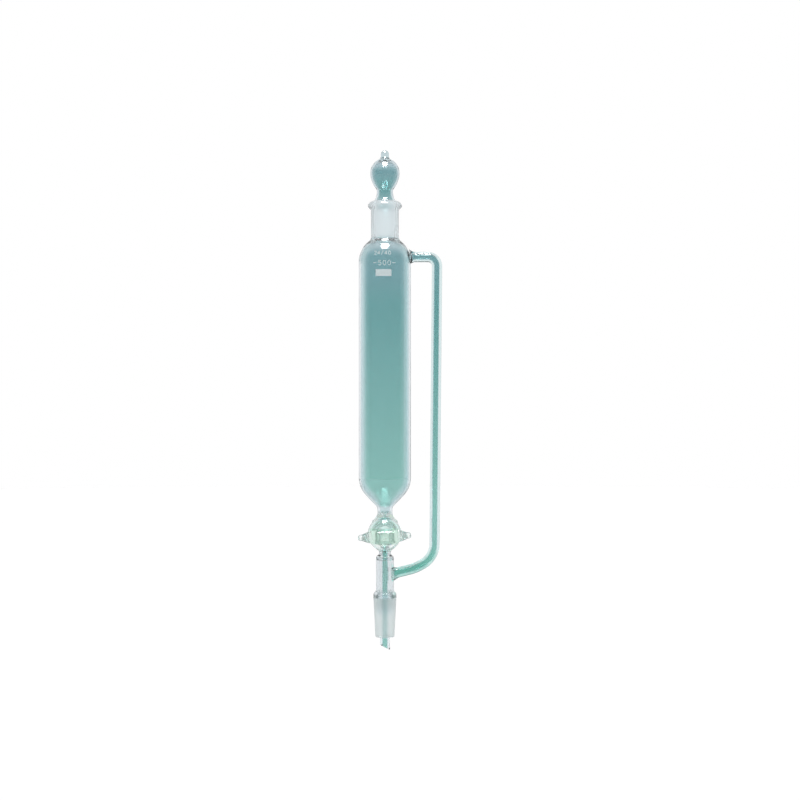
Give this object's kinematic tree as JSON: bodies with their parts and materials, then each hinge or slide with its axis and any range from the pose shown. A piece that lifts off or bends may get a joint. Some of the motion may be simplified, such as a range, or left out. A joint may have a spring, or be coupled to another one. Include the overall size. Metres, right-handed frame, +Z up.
{
  "type": "separatory funnel",
  "caption": "Cylindrical glass separatory dropping funnel with side tube, ground socket and ball-headed stopper, glass stopcock and ground cone with drip tube.",
  "frame": {"origin": "on the funnel's axis, in the gauge plane of the lower ground cone, where the cone is 24 mm across", "axes": "+Z up along the funnel's axis towards the stopper, +X towards the side tube, -Y towards the handle of the stopcock key"},
  "size_m": [0.0874, 0.0866, 0.5241],
  "materials": {
    "clear_glass": "clear borosilicate glass, frosted on the ground joints",
    "stopper_glass": "clear glass head, frosted ground cone",
    "key_glass": "clear pale green glass head, frosted ground plug",
    "ring_rubber": "satin pale silicone rubber"
  },
  "bodies": {
    "funnel": {"funnel_body": "clear_glass", "stopper": "stopper_glass"},
    "key": {"stopcock_key": "key_glass", "key_retaining_ring": "ring_rubber"}
  },
  "joints": [
    {"name": "key_turn", "type": "hinge", "parent": "funnel", "child": "key", "pos_m": [0, 0, 0.07], "axis": [0, 1, 0], "continuous": true}
  ]
}
